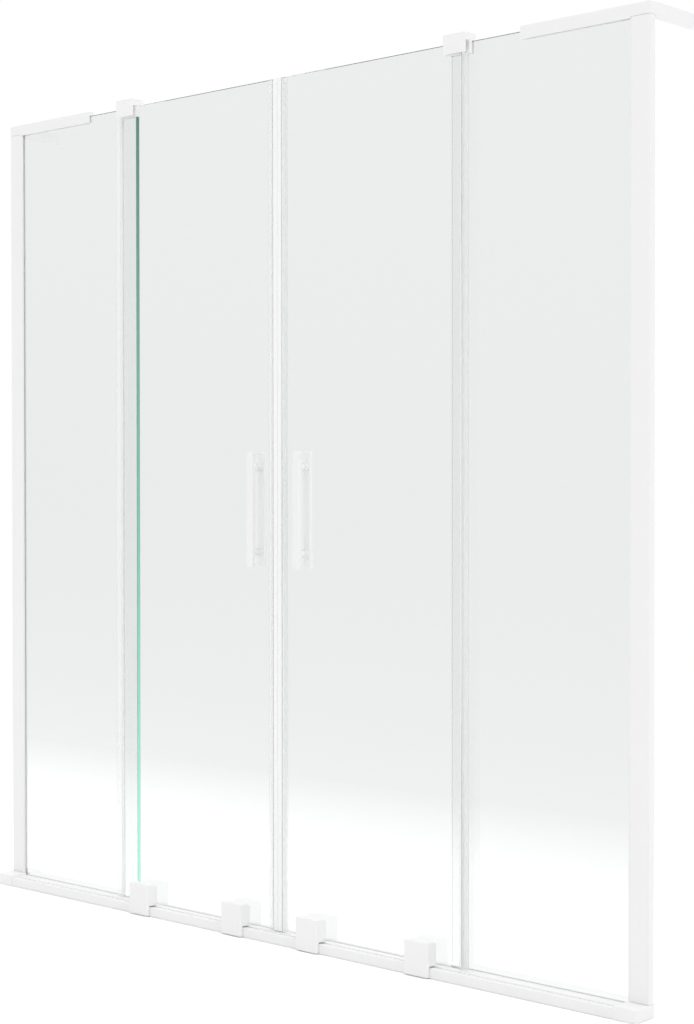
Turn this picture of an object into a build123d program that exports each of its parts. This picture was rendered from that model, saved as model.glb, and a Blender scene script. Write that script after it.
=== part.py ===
from build123d import *
import os

os.makedirs("parts", exist_ok=True)

# Sliding screen for the rim of a bath that stands between two walls.
# Millimetres. X runs along the screen from its centre, Y back into the bath from the
# middle of the rail's depth, Z up from the underside of the rail.

# Overall
screen_width = 1500.0
screen_height = 1500.0

# Glass
glass_thickness = 8.0
glass_arris = 0.4
pane_gap = 7.0
seam_gap = 0.4
fixed_edge_x = 375.4
door_overlap = 30.6
door_top_drop = 10.5
fixed_top_drop = 7.5
touch_clearance = 0.3
thread_clearance = 0.05
glass_film = 0.05

# Rail
rail_depth = 48.0
rail_height = 16.5
rail_wall = 1.8
rail_edge_radius = 0.8
door_setback = 21.0
track_setback = 11.5
track_width = 7.0
track_depth = 2.0
glazing_groove_floor = 4.5
sill_gasket_side = 1.0
sill_gasket_base = 1.5
sill_gasket_lip = 0.5
groove_cover_wall = 1.6
groove_cover_gap = 0.3

# Rail caps
cap_width = 39.0
cap_height = 20.5
cap_proud = 1.0
cap_radius = 1.3
spigot_length = 22.0
spigot_clearance = 0.2
cap_screw_radius = 1.75
cap_screw_length = 11.0
cap_screw_inset = 11.0

# Wall profiles
profile_width = 34.0
profile_depth = 13.5
profile_setback = 34.0
profile_front_wall = 1.4
profile_web = 2.5
profile_radius = 0.9
profile_foot_gap = 0.4
glass_wall_gap = 15.0
gasket_lip = 3.0
gasket_base = 2.0

# Top brackets
arm_length = 238.0
arm_setback = 33.8
arm_wall = 2.2
bracket_proud = 0.8
bracket_height = 21.4
bracket_radius = 2.0
corner_rebate = 2.2
arm_roof = 4.0
liner_side = 0.5
leg_thickness = 10.0
leg_reach = 155.0
leg_radius = 2.5
grub_radius = 2.5
grub_length = 3.0
grub_first = 50.0
grub_pitch = 110.0

# Top guides
guide_width = 45.0
guide_end_stop = 5.0
guide_setback = 17.0
guide_depth = 29.5
guide_rise = 15.0
guide_drop = 16.5
guide_radius = 2.0
guide_roof_gap = 3.0
guide_front_wall = 2.4
slider_wall = 1.2
slider_end_inset = 0.5
guide_screw_length = 2.2

# Seals on the sliding panes
seal_wall = 0.9
magnet_width = 9.8
magnet_radius = 1.2
magnet_grip = 9.0
rear_grip = 3.0
rear_fin_reach = 12.8
rear_fin_wall = 1.0
rear_lip_reach = 3.0
rear_seal_gap = 2.0

# Trolleys
trolley_width = 50.5
trolley_inner_x = 90.6
trolley_outer_x = 332.6
trolley_top_z = 56.6
trolley_foot_z = 1.3
trolley_plate = 5.4
trolley_plate_gap = 0.35
trolley_rail_gap = 2.4
trolley_setback = 15.2
trolley_boss_inset = 4.0
trolley_radius = 3.0
trolley_top_radius = 1.0
roller_radius = 10.0
roller_width = 6.4
roller_recess = 1.2
roller_pocket_gap = 1.0
axle_radius = 2.0
axle_front_setback = 3.0
axle_rear_inset = 0.5
clamp_screw_z = 44.0
clamp_screw_radius = 3.0
clamp_screw_front = 8.0
clamp_disc_radius = 8.0
clamp_disc_thickness = 4.0
clamp_hole_radius = 4.5
door_foot_gap = 1.5

# Handles
handle_x = 55.5
handle_z = 746.5
handle_width = 15.0
handle_depth = 8.0
handle_length = 200.0
handle_radius = 1.8
handle_post_pitch = 147.0
handle_front_post = 5.2
handle_rear_post = 8.7
handle_post_radius = 6.5
handle_washer = 0.8
handle_washer_radius = 7.0
handle_stud_radius = 3.0
handle_stud_inset = 5.0
handle_hole_radius = 5.0

# Screw heads
head_radius = 4.8
head_height = 2.4
head_side_gap = 0.4
socket_radius = 2.0
socket_depth = 1.4

# Positions that follow from the sizes above
half_width = screen_width / 2
front_y = -rail_depth / 2
rail_end_x = half_width - cap_width
track_y = front_y + track_setback
track_z = rail_height - track_depth
door_y0 = front_y + door_setback
door_y1 = door_y0 + glass_thickness
fixed_y0 = door_y1 + pane_gap
fixed_y1 = fixed_y0 + glass_thickness
door_z0 = rail_height + door_foot_gap
door_z1 = screen_height - door_top_drop
fixed_z0 = glazing_groove_floor + sill_gasket_base
fixed_z1 = screen_height - fixed_top_drop
seam_x = seam_gap / 2
magnet_x1 = seam_x + magnet_width
door_x0 = magnet_x1 + seal_wall
door_x1 = fixed_edge_x + door_overlap
seal_inner_y0 = door_y0 - glass_film
seal_inner_y1 = door_y1 + glass_film
seal_y0 = seal_inner_y0 - seal_wall
seal_y1 = seal_inner_y1 + seal_wall
fixed_x1 = half_width - glass_wall_gap
profile_x0 = half_width - profile_width
profile_y0 = front_y + profile_setback
profile_y1 = profile_y0 + profile_depth
profile_rear_wall = profile_front_wall
profile_z0 = cap_height + profile_foot_gap
bracket_z1 = screen_height + bracket_proud
arm_z0 = bracket_z1 - bracket_height
corner_z0 = arm_z0 + corner_rebate
profile_z1 = corner_z0 - profile_foot_gap
arm_x0 = half_width - arm_length
arm_y0 = front_y + arm_setback
arm_y1 = fixed_y1 + liner_side + arm_wall
liner_y0 = fixed_y0 - liner_side
liner_y1 = fixed_y1 + liner_side
guide_x0 = fixed_edge_x - guide_end_stop
guide_x1 = guide_x0 + guide_width
guide_y0 = front_y + guide_setback
guide_y1 = guide_y0 + guide_depth
guide_z0 = door_z1 - guide_drop
guide_z1 = door_z1 + guide_rise
slider_y0 = door_y0 - touch_clearance - slider_wall
slider_y1 = door_y1 + touch_clearance + slider_wall
slider_z1 = door_z1 + guide_roof_gap + slider_wall
plate_y1 = front_y - trolley_plate_gap
plate_y0 = plate_y1 - trolley_plate
trolley_y1 = front_y + trolley_setback
trolley_z0 = rail_height + trolley_rail_gap
axle_y0 = front_y + axle_front_setback
axle_z = track_z + touch_clearance + roller_radius
handle_front_y1 = door_y0 - handle_washer - handle_front_post
handle_front_y0 = handle_front_y1 - handle_depth
handle_rear_y0 = door_y1 + handle_washer + handle_rear_post
handle_rear_y1 = handle_rear_y0 + handle_depth
handle_post_z = [handle_z - handle_post_pitch / 2, handle_z + handle_post_pitch / 2]
grub_x = [arm_x0 + grub_first, arm_x0 + grub_first + grub_pitch]
grub_z = bracket_z1 - bracket_height / 2
guide_screw_x = (fixed_edge_x + guide_x1) / 2
guide_screw_z = (guide_z0 + fixed_z1) / 2


def block(x0, x1, y0, y1, z0, z1):
    """A box between two opposite corners."""
    middle = Pos((x0 + x1) / 2, (y0 + y1) / 2, (z0 + z1) / 2)
    return middle * Box(x1 - x0, y1 - y0, z1 - z0)


def rod_y(x, y0, y1, z, radius):
    """A round bar along Y."""
    return Pos(x, (y0 + y1) / 2, z) * Rot(90, 0, 0) * Cylinder(radius, y1 - y0)


def rod_z(x, y, z0, z1, radius):
    """A round bar along Z."""
    return Pos(x, y, (z0 + z1) / 2) * Cylinder(radius, z1 - z0)


def other_side(shape):
    """The same piece on the left of the screen."""
    return mirror(shape, about=Plane.YZ)


def rounded_upright(x0, x1, y0, y1, z0, z1, radius):
    """A box with its four upright edges rounded."""
    body = block(x0, x1, y0, y1, z0, z1)
    return fillet(body.edges().filter_by(Axis.Z), radius)


def socket_y(x, y, z, toward_back):
    """The hexagonal socket of a screw whose head face is at y."""
    depth = -socket_depth if toward_back else socket_depth
    face = Plane(origin=(x, y, z), x_dir=(1, 0, 0), z_dir=(0, 1, 0))
    return extrude(face * RegularPolygon(socket_radius, 6), amount=depth)


def make_rail():
    """The extrusion on the rim, with a roller track and a glazing groove."""
    back_y = front_y + rail_depth
    body = block(-rail_end_x, rail_end_x, front_y, back_y, 0, rail_height)
    body = fillet(body.edges().filter_by(Axis.X), rail_edge_radius)
    groove_y0 = fixed_y0 - sill_gasket_side
    groove_y1 = fixed_y1 + sill_gasket_side
    track_edge = track_width / 2
    body -= block(-rail_end_x, rail_end_x, groove_y0, groove_y1, glazing_groove_floor, rail_height)
    body -= block(-rail_end_x, rail_end_x, track_y - track_edge, track_y + track_edge,
                  track_z, rail_height)
    for y0, y1, z1 in chambers():
        body -= block(-rail_end_x, rail_end_x, y0, y1, rail_wall, z1)
    for x in (-rail_end_x + cap_screw_inset, rail_end_x - cap_screw_inset):
        body -= rod_z(x, cap_screw_y(), 0, rail_wall, cap_screw_radius + thread_clearance)
    return body


def chambers():
    """The two hollows of the rail: (y0, y1, top)."""
    web_y = track_y + track_width / 2 + rail_wall
    front = (front_y + rail_wall, web_y, track_z - rail_wall)
    back = (web_y + rail_wall, fixed_y0 - sill_gasket_side - rail_wall, rail_height - rail_wall)
    return [front, back]


def cap_screw_y():
    """Middle of the rear hollow, where a cap's screw enters."""
    y0, y1, top = chambers()[1]
    return (y0 + y1) / 2


def make_rail_cap():
    """Moulded end cap on the right, with two spigots and a slot for the fixed glass."""
    y0 = front_y - cap_proud
    y1 = front_y + rail_depth + cap_proud
    body = block(rail_end_x, half_width, y0, y1, 0, cap_height)
    rounded = body.edges().filter_by(Axis.Z).group_by(Axis.X)[-1]
    rounded += body.edges().group_by(Axis.Z)[-1]
    body = fillet(rounded, cap_radius)
    for c0, c1, top in chambers():
        body += block(rail_end_x - spigot_length, rail_end_x, c0 + spigot_clearance, c1 - spigot_clearance,
                      rail_wall + spigot_clearance, top - spigot_clearance)
    body -= block(rail_end_x, fixed_x1 + gasket_base, fixed_y0 - liner_side, fixed_y1 + liner_side,
                  glazing_groove_floor, cap_height)
    x = rail_end_x - cap_screw_inset
    body -= rod_z(x, cap_screw_y(), 0, cap_screw_length + socket_depth, cap_screw_radius + thread_clearance)
    return body


def make_cap_screws():
    """The screws that hold both caps, driven up from under the rail."""
    screws = []
    for x in (-rail_end_x + cap_screw_inset, rail_end_x - cap_screw_inset):
        shank = rod_z(x, cap_screw_y(), 0, cap_screw_length, cap_screw_radius)
        socket = rod_z(x, cap_screw_y(), 0, socket_depth, cap_screw_radius / 2)
        screws.append(shank - socket)
    return Compound(children=screws)


def make_wall_profile():
    """The upright channel on the right wall."""
    body = rounded_upright(profile_x0, half_width, profile_y0, profile_y1, profile_z0, profile_z1, profile_radius)
    return body - block(profile_x0, half_width - profile_web, profile_y0 + profile_front_wall,
                        profile_y1 - profile_rear_wall, profile_z0, profile_z1)


def make_profile_gasket():
    """The glazing gasket round the fixed glass inside the wall profile."""
    x0 = profile_x0 - gasket_lip
    x1 = fixed_x1 + gasket_base
    body = block(x0, x1, profile_y0 + profile_front_wall, profile_y1 - profile_rear_wall,
                 profile_z0, arm_z0 - touch_clearance)
    return body - block(x0, fixed_x1, fixed_y0 - glass_film, fixed_y1 + glass_film, profile_z0, arm_z0)


def make_fixed_glass():
    """The fixed pane on the right."""
    body = block(fixed_edge_x, fixed_x1, fixed_y0, fixed_y1, fixed_z0, fixed_z1)
    return chamfer(body.edges().filter_by(Axis.Y, reverse=True), glass_arris)


def make_sill_gasket():
    """The channel the fixed glass stands in, inside the rail's groove."""
    body = block(fixed_edge_x, rail_end_x, fixed_y0 - sill_gasket_side, fixed_y1 + sill_gasket_side,
                 glazing_groove_floor, rail_height + sill_gasket_lip)
    return body - block(fixed_edge_x, rail_end_x, fixed_y0 - glass_film, fixed_y1 + glass_film,
                        fixed_z0, cap_height)


def make_groove_cover():
    """The strip that closes the glazing groove between the two fixed panes."""
    x1 = fixed_edge_x - groove_cover_gap
    y0 = fixed_y0 - sill_gasket_side + thread_clearance
    y1 = fixed_y1 + sill_gasket_side - thread_clearance
    body = block(-x1, x1, y0, y1, glazing_groove_floor, rail_height)
    return body - block(-x1, x1, y0 + groove_cover_wall, y1 - groove_cover_wall,
                        glazing_groove_floor, rail_height - groove_cover_wall)


def make_top_bracket():
    """The bracket on the right: an arm along the fixed glass and a leg along the wall."""
    arm = block(arm_x0, half_width, arm_y0, arm_y1, arm_z0, bracket_z1)
    arm = fillet(arm.edges().group_by(Axis.Z)[-1], bracket_radius)
    arm -= block(arm_x0, fixed_x1 + gasket_base, liner_y0, liner_y1, arm_z0, bracket_z1 - arm_roof)
    arm -= block(profile_x0 - profile_foot_gap, half_width, arm_y0, arm_y1, arm_z0, corner_z0)
    leg_y0 = profile_y1 + touch_clearance
    leg_x0 = half_width - leg_thickness
    leg = block(leg_x0, half_width, leg_y0, front_y + leg_reach, arm_z0, bracket_z1)
    leg = fillet(leg.edges().filter_by(Axis.Z).group_by(Axis.Y)[-1], leg_radius)
    neck = block(leg_x0, half_width, arm_y1 - arm_wall, leg_y0, corner_z0, bracket_z1 - bracket_radius)
    body = arm + leg + neck
    for x in grub_x:
        body -= rod_y(x, liner_y1, arm_y1, grub_z, grub_radius + thread_clearance)
    return body


def make_bracket_liner():
    """The pale channel between the bracket's arm and the glass."""
    x1 = profile_x0 - profile_foot_gap
    body = block(arm_x0, x1, liner_y0, liner_y1, arm_z0, bracket_z1 - arm_roof)
    return body - block(arm_x0, x1, fixed_y0 - glass_film, fixed_y1 + glass_film, arm_z0, fixed_z1)


def make_grub_screws():
    """The grub screws in the rear of both arms."""
    screws = []
    for side in (-1, 1):
        for x in grub_x:
            screw = rod_y(side * x, liner_y1, liner_y1 + grub_length, grub_z, grub_radius)
            screws.append(screw - socket_y(side * x, liner_y1 + grub_length, grub_z, True))
    return Compound(children=screws)


def make_top_guide():
    """The block on top of the right fixed pane that keeps the door upright."""
    body = rounded_upright(guide_x0, guide_x1, guide_y0, guide_y1, guide_z0, guide_z1, guide_radius)
    body = fillet(body.edges().group_by(Axis.Z)[-1], profile_radius)
    body -= block(guide_x0, guide_x1, guide_y0 + guide_front_wall, slider_y1,
                  guide_z0, slider_z1)
    body -= block(fixed_edge_x, guide_x1, fixed_y0 - touch_clearance, fixed_y1 + touch_clearance,
                  guide_z0, fixed_z1 + touch_clearance)
    body -= rod_y(guide_screw_x, fixed_y1, guide_y1, guide_screw_z, grub_radius + thread_clearance)
    return body


def make_guide_slider():
    """The low-friction channel inside the top guide."""
    x0 = guide_x0 + slider_end_inset
    x1 = guide_x1 - slider_end_inset
    body = block(x0, x1, slider_y0, slider_y1, guide_z0 + slider_end_inset, slider_z1)
    return body - block(x0, x1, slider_y0 + slider_wall, slider_y1 - slider_wall,
                        guide_z0, slider_z1 - slider_wall)


def make_guide_screws():
    """One grub screw in the rear of each top guide."""
    screws = []
    for side in (-1, 1):
        x = side * guide_screw_x
        screw = rod_y(x, fixed_y1, fixed_y1 + guide_screw_length, guide_screw_z, grub_radius)
        screws.append(screw - socket_y(x, fixed_y1 + guide_screw_length, guide_screw_z, True))
    return Compound(children=screws)


def make_door_glass():
    """The sliding pane on the right, with holes for its trolleys and handle."""
    body = block(door_x0, door_x1, door_y0, door_y1, door_z0, door_z1)
    body = chamfer(body.edges().filter_by(Axis.Y, reverse=True), glass_arris)
    for x in (trolley_inner_x, trolley_outer_x):
        body -= rod_y(x, door_y0, door_y1, clamp_screw_z, clamp_hole_radius)
    for z in handle_post_z:
        body -= rod_y(handle_x, door_y0, door_y1, z, handle_hole_radius)
    return body


def make_magnet_profile():
    """The clear channel on the door's meeting edge."""
    x1 = door_x0 + magnet_grip
    body = block(magnet_x1, x1, seal_y0, seal_y1, door_z0, door_z1)
    return body - block(door_x0 - glass_film, x1, seal_inner_y0, seal_inner_y1, door_z0, door_z1)


def make_magnet_strip():
    """The magnetic strip that meets the other door's."""
    return rounded_upright(seam_x, magnet_x1 - glass_film, seal_y0, seal_y1, door_z0, door_z1, magnet_radius)


def make_rear_seal():
    """The clear seal on the door's outer edge: a straight fin, and a lip back to the fixed glass."""
    z1 = guide_z0 - rear_seal_gap
    x1 = door_x1 + seal_wall
    body = block(door_x1 - rear_grip, x1, seal_y0, seal_y1, door_z0, z1)
    body -= block(door_x1 - rear_grip, door_x1 + glass_film, seal_inner_y0, seal_inner_y1, door_z0, z1)
    body += block(x1, x1 + rear_fin_reach, door_y0, door_y0 + rear_fin_wall, door_z0, z1)
    tip_x = x1 + rear_lip_reach
    tip_y = fixed_y0 - touch_clearance
    lip = Polygon((x1 - seal_wall, door_y1), (x1, door_y1), (tip_x, tip_y),
                  (tip_x - rear_fin_wall, tip_y), align=None)
    return body + Pos(0, 0, door_z0) * extrude(lip, amount=z1 - door_z0)


def make_trolley(x):
    """A trolley that hangs over the rail's front edge, with a boss behind that carries the door."""
    x0 = x - trolley_width / 2
    x1 = x + trolley_width / 2
    body = rounded_upright(x0, x1, plate_y0, trolley_y1, trolley_foot_z, trolley_top_z, trolley_radius)
    body = fillet(body.edges().group_by(Axis.Z)[-1], trolley_top_radius)
    body += block(x0 + trolley_boss_inset, x1 - trolley_boss_inset, axle_y0, door_y0,
                  trolley_z0, trolley_top_z - trolley_boss_inset)
    body -= block(x0, x1, plate_y1, door_y0, trolley_foot_z, trolley_z0)
    pocket_x = roller_radius + roller_pocket_gap
    pocket_y = roller_width / 2 + roller_pocket_gap
    body -= block(x - pocket_x, x + pocket_x, track_y - pocket_y, track_y + pocket_y,
                  trolley_z0, axle_z + roller_radius + roller_pocket_gap)
    body -= rod_y(x, axle_y0, door_y0, axle_z, axle_radius + thread_clearance)
    body -= rod_y(x, front_y + clamp_screw_front, door_y0, clamp_screw_z, clamp_screw_radius + thread_clearance)
    return body


def make_roller(x):
    """The wheel inside a trolley."""
    half = roller_width / 2
    rim = roller_radius - axle_radius
    body = rod_y(x, track_y - half, track_y + half, axle_z, roller_radius)
    for y0, y1 in ((track_y - half, track_y - half + roller_recess), (track_y + half - roller_recess, track_y + half)):
        dish = rod_y(x, y0, y1, axle_z, rim) - rod_y(x, y0, y1, axle_z, axle_radius * 2)
        body -= dish
    return body - rod_y(x, track_y - half, track_y + half, axle_z, axle_radius + thread_clearance)


def make_axles():
    """The pins the two rollers turn on."""
    pins = []
    for x in (trolley_inner_x, trolley_outer_x):
        pins.append(rod_y(x, axle_y0, door_y0 - axle_rear_inset, axle_z, axle_radius))
    return Compound(children=pins)


def make_clamp_disc(x):
    """The disc behind the glass that a trolley is screwed to."""
    body = rod_y(x, door_y1, door_y1 + clamp_disc_thickness, clamp_screw_z, clamp_disc_radius)
    outer_ring = body.edges().filter_by(GeomType.CIRCLE).group_by(Axis.Y)[-1]
    body = fillet(outer_ring, profile_radius)
    body -= rod_y(x, door_y1, door_y1 + clamp_disc_thickness, clamp_screw_z, clamp_screw_radius + thread_clearance)
    return body - rod_y(x, door_y1 + clamp_disc_thickness - head_height, door_y1 + clamp_disc_thickness,
                        clamp_screw_z, head_radius + head_side_gap)


def make_clamp_screws():
    """The screws through the discs and the glass into the trolleys."""
    screws = []
    for x in (trolley_inner_x, trolley_outer_x):
        face_y = door_y1 + clamp_disc_thickness
        shank = rod_y(x, front_y + clamp_screw_front, face_y, clamp_screw_z, clamp_screw_radius)
        head = rod_y(x, face_y - head_height, face_y, clamp_screw_z, head_radius)
        screws.append(shank + head - socket_y(x, face_y, clamp_screw_z, True))
    return Compound(children=screws)


def handle_bar(y0, y1):
    """A square-edged bar with softened edges."""
    half = handle_width / 2
    body = block(handle_x - half, handle_x + half, y0, y1, handle_z - handle_length / 2, handle_z + handle_length / 2)
    return fillet(body.edges(), handle_radius)


def make_outer_handle():
    """The handle bar on the room side."""
    body = handle_bar(handle_front_y0, handle_front_y1)
    for z in handle_post_z:
        body -= rod_y(handle_x, handle_front_y1 - handle_stud_inset, handle_front_y1, z,
                      handle_stud_radius + thread_clearance)
    return body


def make_inner_handle():
    """The handle bar on the bath side, with counterbored holes."""
    body = handle_bar(handle_rear_y0, handle_rear_y1)
    for z in handle_post_z:
        body -= rod_y(handle_x, handle_rear_y0, handle_rear_y1, z, handle_stud_radius + thread_clearance)
        body -= rod_y(handle_x, handle_rear_y1 - head_height, handle_rear_y1, z, head_radius + head_side_gap)
    return body


def handle_rings(spans, radius):
    """Rings round the handle's studs, for each span of y."""
    rings = []
    for z in handle_post_z:
        for y0, y1 in spans:
            ring = rod_y(handle_x, y0, y1, z, radius)
            rings.append(ring - rod_y(handle_x, y0, y1, z, handle_stud_radius + thread_clearance))
    return Compound(children=rings)


def make_handle_posts():
    """The short round posts between the bars and the glass."""
    front = (handle_front_y1, door_y0 - handle_washer)
    rear = (door_y1 + handle_washer, handle_rear_y0)
    return handle_rings([front, rear], handle_post_radius)


def make_handle_washers():
    """The clear washers between the posts and the glass."""
    front = (door_y0 - handle_washer, door_y0 - glass_film)
    rear = (door_y1 + glass_film, door_y1 + handle_washer)
    return handle_rings([front, rear], handle_washer_radius)


def make_handle_studs():
    """The two screws that hold a pair of handle bars together through the glass."""
    studs = []
    for z in handle_post_z:
        shank = rod_y(handle_x, handle_front_y1 - handle_stud_inset, handle_rear_y1, z, handle_stud_radius)
        head = rod_y(handle_x, handle_rear_y1 - head_height, handle_rear_y1, z, head_radius)
        studs.append(shank + head - socket_y(handle_x, handle_rear_y1, z, True))
    return Compound(children=studs)


def save(name, shape):
    """Write one node."""
    export_step(shape, "parts/" + name + ".step")


save("sill_rail", make_rail())
save("groove_cover", make_groove_cover())
save("rail_cap_screws", make_cap_screws())
save("bracket_grub_screws", make_grub_screws())
save("top_guide_screws", make_guide_screws())

handed = {
    "rail_cap": make_rail_cap(),
    "wall_profile": make_wall_profile(),
    "profile_gasket": make_profile_gasket(),
    "fixed_glass": make_fixed_glass(),
    "sill_gasket": make_sill_gasket(),
    "top_bracket": make_top_bracket(),
    "bracket_liner": make_bracket_liner(),
    "top_guide": make_top_guide(),
    "guide_slider": make_guide_slider(),
    "door_glass": make_door_glass(),
    "magnet_profile": make_magnet_profile(),
    "magnet_strip": make_magnet_strip(),
    "rear_seal": make_rear_seal(),
    "inner_trolley": make_trolley(trolley_inner_x),
    "outer_trolley": make_trolley(trolley_outer_x),
    "inner_roller": make_roller(trolley_inner_x),
    "outer_roller": make_roller(trolley_outer_x),
    "roller_axles": make_axles(),
    "inner_clamp_disc": make_clamp_disc(trolley_inner_x),
    "outer_clamp_disc": make_clamp_disc(trolley_outer_x),
    "trolley_screws": make_clamp_screws(),
    "outer_handle_bar": make_outer_handle(),
    "inner_handle_bar": make_inner_handle(),
    "handle_posts": make_handle_posts(),
    "handle_washers": make_handle_washers(),
    "handle_studs": make_handle_studs(),
}
for piece, shape in handed.items():
    save("right_" + piece, shape)
    save("left_" + piece, other_side(shape))
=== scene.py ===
import math

import bpy
from bpy.props import FloatProperty, FloatVectorProperty, PointerProperty
from mathutils import Matrix, Vector

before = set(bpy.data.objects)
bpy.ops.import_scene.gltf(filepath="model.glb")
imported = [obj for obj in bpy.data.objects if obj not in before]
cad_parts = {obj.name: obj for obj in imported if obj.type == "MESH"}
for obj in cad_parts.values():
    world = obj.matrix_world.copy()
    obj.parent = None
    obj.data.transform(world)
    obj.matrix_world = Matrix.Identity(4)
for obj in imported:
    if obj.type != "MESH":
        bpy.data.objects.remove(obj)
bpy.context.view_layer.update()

bl_info = {
    "name": "Sliding bath screen",
    "version": (1, 0, 0),
    "blender": (4, 5, 0),
    "location": "View3D > Sidebar > Bath screen",
    "description": "Finishes the parts of a sliding glass bath screen and sets them on a studio floor",
    "category": "Object",
}

WHITE = (1.0, 1.0, 1.0, 1.0)
TURNED_AWAY = 0.5        # a normal's part along an axis is below this where the face is turned from that axis
SEAL_EDGE_COVER = 0.5    # how much a cut edge of a seal hides
FALLOFF_POWER = 1.8      # how steeply the mirrored floor fades with distance
SKY_SLOPE = 0.96         # how much the mirrored sky brightens from the horizon to overhead


# Shader building

class Value:
    """One socket of a shader tree, which can be written into sums."""

    def __init__(self, shader, socket):
        self.shader = shader
        self.socket = socket

    def math(self, operation, *others):
        """The result of an arithmetic node on this value and others."""
        inputs = dict(enumerate((self, *others)))
        return self.shader.node("ShaderNodeMath", {"operation": operation}, inputs)

    def __add__(self, other):
        return self.math("ADD", other)

    __radd__ = __add__

    def __sub__(self, other):
        return self.math("SUBTRACT", other)

    def __rsub__(self, other):
        return (self * -1.0) + other

    def __mul__(self, other):
        return self.math("MULTIPLY", other)

    __rmul__ = __mul__

    def __truediv__(self, other):
        return self.math("DIVIDE", other)

    def __rtruediv__(self, other):
        return self.math("POWER", -1.0) * other

    def __abs__(self):
        return self.math("ABSOLUTE")

    def __lt__(self, other):
        return self.math("LESS_THAN", other)

    def clamped(self):
        """The value kept between zero and one."""
        return self.math("MAXIMUM", 0.0).math("MINIMUM", 1.0)

    def around(self, middle, spread):
        """A value round the middle that varies by the spread as this pattern runs from zero to one."""
        return self * spread + (middle - spread / 2)


class Shader:
    """A node tree that is built from values, starting empty."""

    def __init__(self, owner):
        owner.use_nodes = True
        self.tree = owner.node_tree
        self.tree.nodes.clear()

    def node(self, kind, settings=None, inputs=None, output=0):
        """Adds a node, sets it up, fills its sockets and gives the value of one output."""
        made = self.tree.nodes.new(kind)
        for name, setting in (settings or {}).items():
            setattr(made, name, setting)
        for name, value in (inputs or {}).items():
            if isinstance(value, Value):
                self.tree.links.new(value.socket, made.inputs[name])
            else:
                made.inputs[name].default_value = value
        return Value(self, made.outputs[output]) if made.outputs else made

    def coordinates(self, output="Object"):
        """Object coordinates, or another output of their node."""
        return self.node("ShaderNodeTexCoord", output=output)

    def placed(self, scale):
        """Object coordinates scaled to a pattern's size."""
        return self.node("ShaderNodeMapping", None, {"Vector": self.coordinates(), "Scale": scale})

    def noise(self, scale, detail=2.0, stretch=(1.0, 1.0, 1.0)):
        """A noise pattern with scale cells to the metre."""
        return self.node("ShaderNodeTexNoise", None,
                         {"Vector": self.placed(stretch), "Scale": scale, "Detail": detail}, output="Fac")

    def ray(self, kind):
        """One where a ray of this kind meets the surface, else zero."""
        return self.node("ShaderNodeLightPath", output=kind)

    def mirror_ray(self):
        """One for rays that were mirrored, and not let through, at their last surface."""
        return self.ray("Is Glossy Ray") * (1.0 - self.ray("Is Transmission Ray"))

    def axis(self, vector, name):
        """One component of a vector."""
        return self.node("ShaderNodeSeparateXYZ", None, {"Vector": vector}, output=name)

    def mix_colour(self, share, first, second):
        """Two colours mixed by a share."""
        return self.node("ShaderNodeMix", {"data_type": "RGBA"}, {0: share, 6: first, 7: second}, output=2)

    def toned(self, pattern, colour, low, high):
        """A colour whose tone runs from a low to a high share of it with a pattern."""
        return self.mix_colour(pattern, rgba(shade(colour, low)), rgba(shade(colour, high)))

    def mix_shader(self, share, first, second):
        """Two shaders mixed by a share."""
        return self.node("ShaderNodeMixShader", None, {0: share, 1: first, 2: second})

    def bump(self, height, depth, strength):
        """A bump whose full height is depth metres."""
        return self.node("ShaderNodeBump", None, {"Height": height, "Distance": depth, "Strength": strength})

    def surface(self, inputs):
        """A surface of the general kind, with some of its sockets filled."""
        return self.node("ShaderNodeBsdfPrincipled", None, inputs)

    def glow(self, strength):
        """A white surface that shines with a strength."""
        return self.node("ShaderNodeEmission", None, {"Color": WHITE, "Strength": strength})

    def finish(self, surface, output="ShaderNodeOutputMaterial"):
        """Joins the finished surface to the tree's output."""
        self.node(output, None, {"Surface": surface})


def rgba(colour):
    """A colour property with full alpha."""
    return (*colour, 1.0)


def shade(colour, factor):
    """A colour made darker or paler."""
    return tuple(min(c * factor, 1.0) for c in colour)


def new_material(name):
    """A new material and its empty shader."""
    material = bpy.data.materials.new(name)
    return material, Shader(material)


def paint(material, *nodes):
    """Puts a material on every slot of the named CAD nodes."""
    for name in nodes:
        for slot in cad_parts[name].material_slots:
            slot.material = material


def both_sides(*pieces):
    """The left and right node names of pieces that come in pairs."""
    return [side + piece for piece in pieces for side in ("left_", "right_")]


# Settings

COLOUR = {"subtype": "COLOR", "size": 3, "min": 0, "max": 1}
SHARE = {"subtype": "FACTOR", "min": 0, "max": 1}


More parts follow.
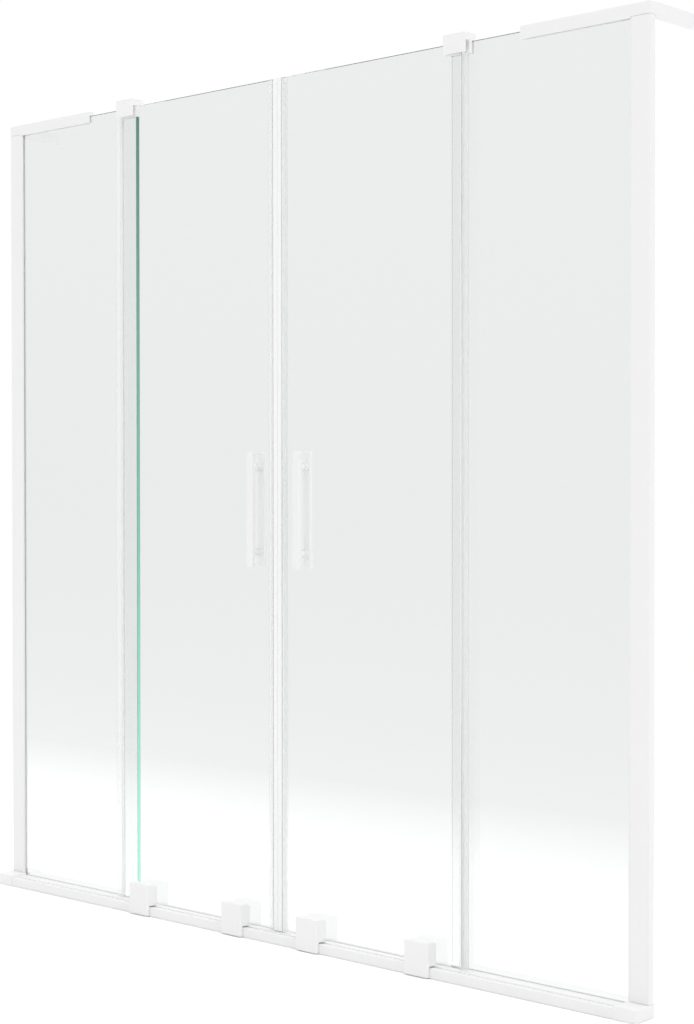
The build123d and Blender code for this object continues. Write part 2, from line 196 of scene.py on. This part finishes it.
class ScreenFinishes(bpy.types.PropertyGroup):
    """Colours and sheens of the screen's parts."""

    paint: FloatVectorProperty(
        name="Paint", description="White powder coat on the aluminium",
        default=(0.89, 0.89, 0.89), **COLOUR)
    # painted light: the bars behind the glass get a paler copy of the paint, standing in for light that the
    # glass and front bars hold back
    rear_paint_lit: FloatVectorProperty(
        name="Rear paint", description="White of the bars behind the glass",
        default=(0.98, 0.98, 0.98), **COLOUR)
    paint_roughness: FloatProperty(
        name="Paint roughness", description="How matt the powder coat is",
        default=0.4, **SHARE)
    moulding: FloatVectorProperty(
        name="Mouldings", description="White plastic of caps, trolleys and guides",
        default=(0.90, 0.90, 0.90), **COLOUR)
    moulding_roughness: FloatProperty(
        name="Moulding roughness", description="How matt the white plastic is",
        default=0.32, **SHARE)
    glass: FloatVectorProperty(
        name="Glass", description="Tint of one pane seen face on",
        default=(0.906, 0.923, 0.917), **COLOUR)
    glass_clearness: FloatProperty(
        name="Glass clearness", description="Share of lamp light each glass face lets by",
        default=1.0, **SHARE)
    # painted reflection: the open edge's green is paled at the bottom as if it mirrored the bright floor
    glass_edge: FloatVectorProperty(
        name="Glass edge", description="Green of an open polished edge, at the bottom",
        default=(0.36, 0.95, 0.74), **COLOUR)
    # painted shade: the open edge's green is darkened near the top as if it mirrored the darker room
    glass_edge_top_shade: FloatVectorProperty(
        name="Glass edge at the top", description="Deeper green of an open edge near the top",
        default=(0.02, 0.19, 0.115), **COLOUR)
    glass_edge_covered: FloatVectorProperty(
        name="Covered glass edge", description="Pale green of an edge that a seal lights up",
        default=(0.92, 0.95, 0.94), **COLOUR)
    pane_top: FloatProperty(
        name="Pane top", description="Height near which the panes end",
        unit="LENGTH", default=1.48)
    glass_index: FloatProperty(
        name="Glass index", description="Refractive index of the panes",
        min=1, max=2, default=1.52)
    seal: FloatVectorProperty(
        name="Seals", description="Tint of the clear plastic seals",
        default=(0.96, 0.965, 0.965), **COLOUR)
    seal_cover: FloatProperty(
        name="Seal cover", description="How much one wall of a seal hides",
        default=0.25, **SHARE)
    # painted shade: how much darker the cut edges of a seal's walls are painted
    seal_edge_shade: FloatProperty(
        name="Seal edge", description="How dark the edges of a seal's walls are",
        default=0.78, **SHARE)
    gasket: FloatVectorProperty(
        name="Gaskets", description="Pale rubber round the fixed panes",
        default=(0.86, 0.865, 0.865), **COLOUR)
    magnet: FloatVectorProperty(
        name="Magnet strip", description="Colour of the strips where the doors meet",
        default=(0.94, 0.945, 0.945), **COLOUR)
    nylon: FloatVectorProperty(
        name="Nylon", description="Colour of rollers and sliders",
        default=(0.90, 0.90, 0.89), **COLOUR)
    steel: FloatVectorProperty(
        name="Steel", description="Colour of screws and axles",
        default=(0.62, 0.62, 0.64), **COLOUR)


class ScreenStage(bpy.types.PropertyGroup):
    """The studio: floor, sky and camera."""

    floor_size: FloatProperty(
        name="Floor", description="Width of the studio floor",
        unit="LENGTH", default=120.0)
    floor_drop: FloatProperty(
        name="Floor drop", description="Gap between the rail and the floor",
        unit="LENGTH", default=0.0004)
    floor_white: FloatProperty(
        name="Floor white", description="How pale the floor is",
        min=0, max=1, default=0.91)
    floor_lift: FloatProperty(
        name="Floor lift", description="How much paler the floor is to the camera",
        min=0, default=0.2)
    near_lift: FloatProperty(
        name="Near floor lift",
        description="How much paler the floor close behind the panes shows through them",
        min=0, default=0.13)
    sky_level: FloatProperty(
        name="Sky level", description="Soft light from the horizon",
        min=0, default=0.64)
    sky_top: FloatProperty(
        name="Sky top", description="Extra soft light from overhead",
        min=0, default=0.74)
    sky_side: FloatProperty(name="Sky side", description="Extra soft light from the right", default=0.09)
    mirror_floor: FloatProperty(
        name="Floor in reflections",
        description="Brightness of the floor near the screen as the glass mirrors it",
        min=0, default=3.05)
    mirror_reach: FloatProperty(
        name="Reach in reflections",
        description="Distance at which the mirrored floor has lost half its brightness",
        unit="LENGTH", default=1.1)
    mirror_sky: FloatProperty(
        name="Sky in reflections", description="Brightness of the horizon as the glass mirrors it",
        min=0, default=0.75)
    seen_through: FloatProperty(
        name="Backdrop through glass",
        description="Brightness of the white backdrop as the panes let it through",
        min=0, max=1, default=0.92)
    shadow_reach: FloatProperty(
        name="Reach of shadows",
        description="Distance from the screen at which the floor starts to fade to white",
        unit="LENGTH", default=0.7)
    camera_place: FloatVectorProperty(
        name="Camera", description="Where the camera stands",
        size=3, subtype="XYZ", unit="LENGTH", default=(2.3275, -2.3972, 0.7910))
    camera_yaw: FloatProperty(
        name="Yaw", description="Turn of the view to the left of straight ahead",
        subtype="ANGLE", default=0.73542)
    camera_pitch: FloatProperty(
        name="Pitch", description="How far the view looks down",
        subtype="ANGLE", default=0.0144)
    camera_roll: FloatProperty(
        name="Roll", description="Tilt of the picture",
        subtype="ANGLE", default=-0.00072)
    camera_lens: FloatProperty(name="Lens", description="Focal length in millimetres", default=67.967)


# Materials

def powder_coat(name, finishes, tint):
    """White powder coat: a faint orange peel and a slow drift of tone."""
    material, shader = new_material(name)
    peel = shader.noise(scale=700.0, detail=3.0)
    drift = shader.noise(scale=9.0)
    shader.finish(shader.surface({
        "Base Color": shader.toned(drift, tint, low=0.99, high=1.01),
        "Roughness": peel.around(finishes.paint_roughness, spread=0.06),
        "Normal": shader.bump(peel, depth=0.00003, strength=0.5)}))
    return material


def white_moulding(finishes):
    """White moulded plastic with a fine grain."""
    material, shader = new_material("white_moulding")
    grain = shader.noise(scale=1600.0)
    drift = shader.noise(scale=14.0)
    shader.finish(shader.surface({
        "Base Color": shader.toned(drift, finishes.moulding, low=0.99, high=1.01),
        "Roughness": grain.around(finishes.moulding_roughness, spread=0.08),
        "Normal": shader.bump(grain, depth=0.00002, strength=0.5)}))
    return material


def let_light_through(shader, surface, clearness):
    """Lets lamps and sky light the pieces behind a clear piece."""
    clear = shader.node("ShaderNodeBsdfTransparent", None, {"Color": rgba((clearness,) * 3)})
    for_soft_light = shader.mix_shader(shader.ray("Is Diffuse Ray"), surface, clear)
    return shader.mix_shader(shader.ray("Is Shadow Ray"), for_soft_light, clear)


def safety_glass(name, finishes, low_edge, high_edge, see_out):
    """Clear float glass whose rims have one colour at the bottom and another at the top, which paints a
    reflection of the bright floor low down and the darker room high up where the two differ.

    See_out is one where a rim seen from inside the glass stays clear, and zero where it is covered.
    """
    material, shader = new_material(name)
    face = shader.surface({
        "Base Color": rgba(finishes.glass), "Roughness": 0.0, "IOR": finishes.glass_index,
        "Transmission Weight": 1.0})
    frosting = shader.noise(scale=900.0)
    height = shader.axis(shader.coordinates(), "Z") / finishes.pane_top
    # painted reflection: the rim colour runs with height from the paler bottom colour to the darker top
    # colour
    tone = (height + frosting.around(0.0, spread=0.05)).clamped()
    edge = shader.surface({
        "Base Color": shader.mix_colour(tone, rgba(low_edge), rgba(high_edge)),
        "Roughness": frosting.around(0.35, spread=0.1), "Specular IOR Level": 0.15})
    on_rim = (abs(shader.axis(shader.coordinates("Normal"), "Y")) < TURNED_AWAY) * (height < 1.0)
    inside = shader.node("ShaderNodeNewGeometry", output="Backfacing")
    surface = shader.mix_shader(on_rim * (1.0 - inside * see_out), face, edge)
    shader.finish(let_light_through(shader, surface, finishes.glass_clearness))
    return material


def clear_seal(finishes):
    """Clear soft plastic with faint draw lines, whose cut edges hide more and carry painted shade."""
    material, shader = new_material("clear_seal")
    lines = shader.noise(scale=500.0, stretch=(1.0, 1.0, 0.002))
    # painted shade: faces whose normals lie along X are the cut edges, which get a darker copy of the seal
    # colour and hide more
    edge = 1.0 - (abs(shader.axis(shader.coordinates("Normal"), "X")) < TURNED_AWAY)
    wall = shader.toned(lines, finishes.seal, low=0.97, high=1.02)
    shader.finish(shader.surface({
        "Base Color": shader.mix_colour(edge, wall, rgba(shade(finishes.seal, finishes.seal_edge_shade))),
        "Roughness": lines.around(0.25, spread=0.1),
        "Alpha": edge * (SEAL_EDGE_COVER - finishes.seal_cover) + finishes.seal_cover,
        "Normal": shader.bump(lines, depth=0.00002, strength=0.2)}))
    return material


def solid_plastic(name, colour, roughness, grain_scale):
    """Plain moulded plastic in one colour, with a fine grain."""
    material, shader = new_material(name)
    grain = shader.noise(grain_scale)
    shader.finish(shader.surface({
        "Base Color": shader.toned(grain, colour, low=0.97, high=1.02),
        "Roughness": grain.around(roughness, spread=0.1),
        "Normal": shader.bump(grain, depth=0.00003, strength=0.4)}))
    return material


def turned_steel(finishes):
    """Stainless steel with fine turning lines."""
    material, shader = new_material("turned_steel")
    lines = shader.noise(scale=2500.0, stretch=(1.0, 0.1, 1.0))
    shader.finish(shader.surface({
        "Base Color": shader.toned(lines, finishes.steel, low=0.94, high=1.04),
        "Metallic": 1.0,
        "Roughness": lines.around(0.325, spread=0.15),
        "Normal": shader.bump(lines, depth=0.00002, strength=0.4)}))
    return material


# Operators

class BATHSCREEN_OT_aluminium(bpy.types.Operator):
    """Powder coats the rail, wall profiles, top brackets and handles"""

    bl_idname = "bathscreen.aluminium"
    bl_label = "Coat the aluminium"

    def execute(self, context):
        finishes = context.scene.screen_finishes
        paint(powder_coat("powder_coat", finishes, finishes.paint), "sill_rail",
              *both_sides("wall_profile", "top_bracket", "outer_handle_bar", "handle_posts"))
        # painted light: the inner bars take a paler copy of the powder coat in place of the light the glass
        # and front bars hold back
        paint(powder_coat("rear_powder_coat_lit", finishes, finishes.rear_paint_lit), *both_sides("inner_handle_bar"))
        return {"FINISHED"}


class BATHSCREEN_OT_mouldings(bpy.types.Operator):
    """Finishes the white plastic caps, trolleys, guides, clamp discs and groove cover"""

    bl_idname = "bathscreen.mouldings"
    bl_label = "Finish the mouldings"

    def execute(self, context):
        material = white_moulding(context.scene.screen_finishes)
        paint(material, "groove_cover",
              *both_sides("rail_cap", "inner_trolley", "outer_trolley", "top_guide", "inner_clamp_disc",
                          "outer_clamp_disc"))
        return {"FINISHED"}


class BATHSCREEN_OT_panes(bpy.types.Operator):
    """Glazes the fixed and sliding panes"""

    bl_idname = "bathscreen.panes"
    bl_label = "Glaze the panes"

    def execute(self, context):
        finishes = context.scene.screen_finishes
        covered = finishes.glass_edge_covered
        # the open edges get the painted reflection, pale green at the bottom and deep green at the top
        open_edged = safety_glass("open_edged_glass", finishes, finishes.glass_edge, finishes.glass_edge_top_shade,
                                  see_out=1.0)
        sealed = safety_glass("sealed_glass", finishes, covered, covered, see_out=0.0)
        paint(open_edged, *both_sides("fixed_glass"))
        paint(sealed, *both_sides("door_glass"))
        return {"FINISHED"}


class BATHSCREEN_OT_seals(bpy.types.Operator):
    """Finishes the clear seals, the washers, the gaskets and the strips where the doors meet"""

    bl_idname = "bathscreen.seals"
    bl_label = "Finish the seals"

    def execute(self, context):
        finishes = context.scene.screen_finishes
        paint(clear_seal(finishes), *both_sides("magnet_profile", "rear_seal"))
        paint(solid_plastic("washer_plastic", finishes.seal, roughness=0.35, grain_scale=900.0),
              *both_sides("handle_washers"))
        paint(solid_plastic("white_gasket", finishes.gasket, roughness=0.5, grain_scale=900.0),
              *both_sides("profile_gasket", "bracket_liner", "sill_gasket"))
        paint(solid_plastic("magnet_strip", finishes.magnet, roughness=0.45, grain_scale=1200.0),
              *both_sides("magnet_strip"))
        return {"FINISHED"}


class BATHSCREEN_OT_running_gear(bpy.types.Operator):
    """Finishes the rollers, sliders, axles and screws"""

    bl_idname = "bathscreen.running_gear"
    bl_label = "Finish the running gear"

    def execute(self, context):
        finishes = context.scene.screen_finishes
        paint(solid_plastic("nylon", finishes.nylon, roughness=0.5, grain_scale=1500.0),
              *both_sides("guide_slider", "inner_roller", "outer_roller"))
        paint(turned_steel(finishes), "rail_cap_screws", "bracket_grub_screws", "top_guide_screws",
              *both_sides("roller_axles", "trolley_screws", "handle_studs"))
        return {"FINISHED"}


class BATHSCREEN_OT_stage(bpy.types.Operator):
    """Makes the studio floor, the soft sky and the camera"""

    bl_idname = "bathscreen.stage"
    bl_label = "Set the stage"

    def execute(self, context):
        stage = context.scene.screen_stage
        self.make_floor(stage)
        self.make_sky(context.scene, stage)
        self.make_camera(context.scene, stage)
        context.scene.view_settings.view_transform = "Standard"
        return {"FINISHED"}

    def make_floor(self, stage):
        """A wide white floor just under the rail, which shines only in sharp reflections."""
        bpy.ops.object.select_all(action="DESELECT")
        bpy.ops.mesh.primitive_plane_add(size=stage.floor_size, location=(0, 0, -stage.floor_drop))
        floor = bpy.context.object
        floor.name = "studio_floor"
        material, shader = new_material("studio_floor")
        speckle = shader.noise(scale=40.0)
        seen, backdrop = self.backdrop(shader, stage)
        plain_lift = shader.ray("Is Camera Ray") * stage.floor_lift
        glass_lift = shader.ray("Is Transmission Ray") * stage.near_lift
        white = speckle.around(stage.floor_white, spread=0.008) * (plain_lift + glass_lift + backdrop)
        colour = shader.node("ShaderNodeCombineXYZ", None, {"X": white, "Y": white, "Z": white})
        near = shader.node("ShaderNodeBsdfDiffuse", None, {"Color": colour})
        distance = abs(shader.axis(shader.coordinates(), "Y"))
        far = ((distance - stage.shadow_reach) / stage.shadow_reach).clamped() * seen
        lit = shader.mix_shader(far, near, shader.glow(backdrop))
        falloff = self.falloff(distance / stage.mirror_reach)
        mirrored = shader.glow(falloff * (stage.mirror_floor - stage.mirror_sky) + stage.mirror_sky)
        sharp = shader.mirror_ray() * shader.ray("Is Singular Ray")
        shader.finish(shader.mix_shader(sharp, lit, mirrored))
        floor.data.materials.append(material)

    def backdrop(self, shader, stage):
        """Where the camera sees a surface, plainly or through glass, and how white it is there."""
        through = shader.ray("Is Transmission Ray")
        seen = (shader.ray("Is Camera Ray") + through).clamped()
        return seen, 1.0 - through * (1.0 - stage.seen_through)

    def falloff(self, reach):
        """One near the screen, half at a reach of one, nothing far off."""
        return 1.0 / (reach.math("POWER", FALLOFF_POWER) + 1.0)

    def make_sky(self, scene, stage):
        """Soft light from all round, which the camera sees as white and a mirror as grey."""
        world = bpy.data.worlds.new("studio_sky")
        scene.world = world
        shader = Shader(world)
        direction = shader.node("ShaderNodeTexCoord", output="Generated")
        height = shader.axis(direction, "Z").math("MAXIMUM", 0.0)
        right = shader.axis(direction, "X")
        soft = height * stage.sky_top + right * stage.sky_side + stage.sky_level
        mirrored = (height * SKY_SLOPE + stage.mirror_sky).clamped()
        seen, backdrop = self.backdrop(shader, stage)
        lit = soft + (mirrored - soft) * shader.mirror_ray()
        strength = lit + (backdrop - lit) * seen
        sky = shader.node("ShaderNodeBackground", None, {"Color": WHITE, "Strength": strength})
        shader.finish(sky, "ShaderNodeOutputWorld")

    def make_camera(self, scene, stage):
        """A camera at its place, turned by the yaw, pitch and roll."""
        bpy.ops.object.camera_add(location=stage.camera_place)
        camera = bpy.context.object
        yaw = stage.camera_yaw
        pitch = stage.camera_pitch
        ahead = Vector((-math.sin(yaw) * math.cos(pitch), math.cos(yaw) * math.cos(pitch), -math.sin(pitch)))
        right = Vector((math.cos(yaw), math.sin(yaw), 0))
        up = right.cross(ahead)
        rolled = Matrix.Rotation(stage.camera_roll, 3, -ahead)
        turn = Matrix((rolled @ right, rolled @ up, -ahead)).transposed()
        camera.rotation_euler = turn.to_euler()
        camera.data.lens = stage.camera_lens
        camera.data.clip_end = stage.floor_size
        scene.camera = camera


class BATHSCREEN_PT_sidebar(bpy.types.Panel):
    """Lists the screen's parts and the stage"""

    bl_idname = "BATHSCREEN_PT_sidebar"
    bl_label = "Bath screen"
    bl_space_type = "VIEW_3D"
    bl_region_type = "UI"
    bl_category = "Bath screen"

    def draw(self, context):
        for operator in OPERATORS:
            self.layout.operator(operator.bl_idname)
        for group in (context.scene.screen_finishes, context.scene.screen_stage):
            for name in group.__annotations__:
                self.layout.prop(group, name)


OPERATORS = (
    BATHSCREEN_OT_aluminium,
    BATHSCREEN_OT_mouldings,
    BATHSCREEN_OT_panes,
    BATHSCREEN_OT_seals,
    BATHSCREEN_OT_running_gear,
    BATHSCREEN_OT_stage,
)
CLASSES = (ScreenFinishes, ScreenStage, *OPERATORS, BATHSCREEN_PT_sidebar)


def register():
    for cls in CLASSES:
        bpy.utils.register_class(cls)
    bpy.types.Scene.screen_finishes = PointerProperty(type=ScreenFinishes)
    bpy.types.Scene.screen_stage = PointerProperty(type=ScreenStage)


def unregister():
    del bpy.types.Scene.screen_stage
    del bpy.types.Scene.screen_finishes
    for cls in reversed(CLASSES):
        bpy.utils.unregister_class(cls)


def main():
    register()
    for operator in OPERATORS:
        group, name = operator.bl_idname.split(".")
        getattr(getattr(bpy.ops, group), name)()


if __name__ == "__main__":
    main()
